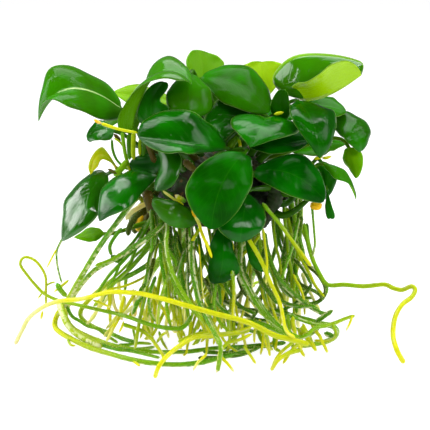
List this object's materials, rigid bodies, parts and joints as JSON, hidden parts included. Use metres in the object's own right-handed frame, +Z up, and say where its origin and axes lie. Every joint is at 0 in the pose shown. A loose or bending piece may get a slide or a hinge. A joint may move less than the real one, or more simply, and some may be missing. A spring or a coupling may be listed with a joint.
{
  "type": "anubias on stone",
  "caption": "Low water plant with broad glossy leaves on a creeping rhizome, grown onto a dark lava stone, whose long green and yellow roots carry it and curl round on the ground.",
  "frame": {"origin": "on the ground, under the middle of the plant's bounding box", "axes": "+Z up, +Y away from the viewer who sees the plant's front, +X to that viewer's right"},
  "size_m": [0.2177, 0.2014, 0.1555],
  "materials": {
    "leaf_dark": null,
    "leaf_young": "glossy, light yellow-green, thin; leather stands in for leaf",
    "leaf_old": "dull yellow of a dying leaf; leather stands in for leaf",
    "root_green": "wet green root with fine pale hairs; wood stands in for root",
    "root_yellow": "wet yellow-green root; wood stands in for root",
    "rhizome": "rough brown and green, ringed by leaf scars; wood stands in for rhizome",
    "stone": "rough dark grey lava with pits"
  },
  "bodies": {
    "root": {"stone": "stone", "rhizome": "rhizome", "leaf_far_left": "leaf_dark", "leaf_upper_left": "leaf_dark", "leaf_back_left": "leaf_young", "leaf_top_bright": "leaf_young", "leaf_top_centre": "leaf_dark", "leaf_back_pale": "leaf_young", "leaf_top_right": "leaf_dark", "leaf_front_right": "leaf_dark", "leaf_mid_right": "leaf_dark", "leaf_lower_right": "leaf_dark", "leaf_front": "leaf_dark", "leaf_below_front": "leaf_dark", "leaf_mid_left": "leaf_dark", "leaf_hanging_left": "leaf_dark", "leaf_low_left_inner": "leaf_dark", "leaf_low_left_outer": "leaf_dark", "leaf_small_centre": "leaf_dark", "leaf_hanging_front": "leaf_dark", "leaf_hanging_right": "leaf_dark", "leaf_right_edge": "leaf_dark", "leaf_right_bright": "leaf_young", "leaf_right_curled": "leaf_dark", "leaf_narrow": "leaf_dark", "leaf_left_small": "leaf_dark", "leaf_left_yellow": "leaf_old", "leaf_left_low_bright": "leaf_young", "leaf_back_centre": "leaf_dark", "leaf_dark_centre": "leaf_dark", "leaf_dark_left": "leaf_dark", "leaf_behind_right": "leaf_dark", "leaf_right_upper": "leaf_dark", "leaf_shadow": "leaf_dark", "leaf_behind_lower_right": "leaf_dark", "leaf_rear_left": "leaf_dark", "leaf_rear_middle": "leaf_dark", "leaf_rear_right": "leaf_dark", "leaf_dark_low_left": "leaf_dark", "leaf_rear_low_middle": "leaf_dark", "leaf_rear_low_right": "leaf_dark", "root_ring_outer": "root_green", "root_ring_inner": "root_green", "root_ring_low": "root_green", "root_front_long": "root_yellow", "root_left_loop": "root_yellow", "root_hang_left": "root_green", "root_hang_middle": "root_yellow", "root_right_far": "root_green", "root_right_straight": "root_yellow", "root_right_yellow": "root_yellow", "root_front_right": "root_green", "root_right_dark": "root_green", "root_right_bundle": "root_green", "root_right_tail": "root_green", "root_ring_right": "root_green", "root_tip_left": "root_yellow", "root_tip_right": "root_yellow", "root_back_left": "root_green", "root_back_right": "root_green"}
  },
  "joints": []
}
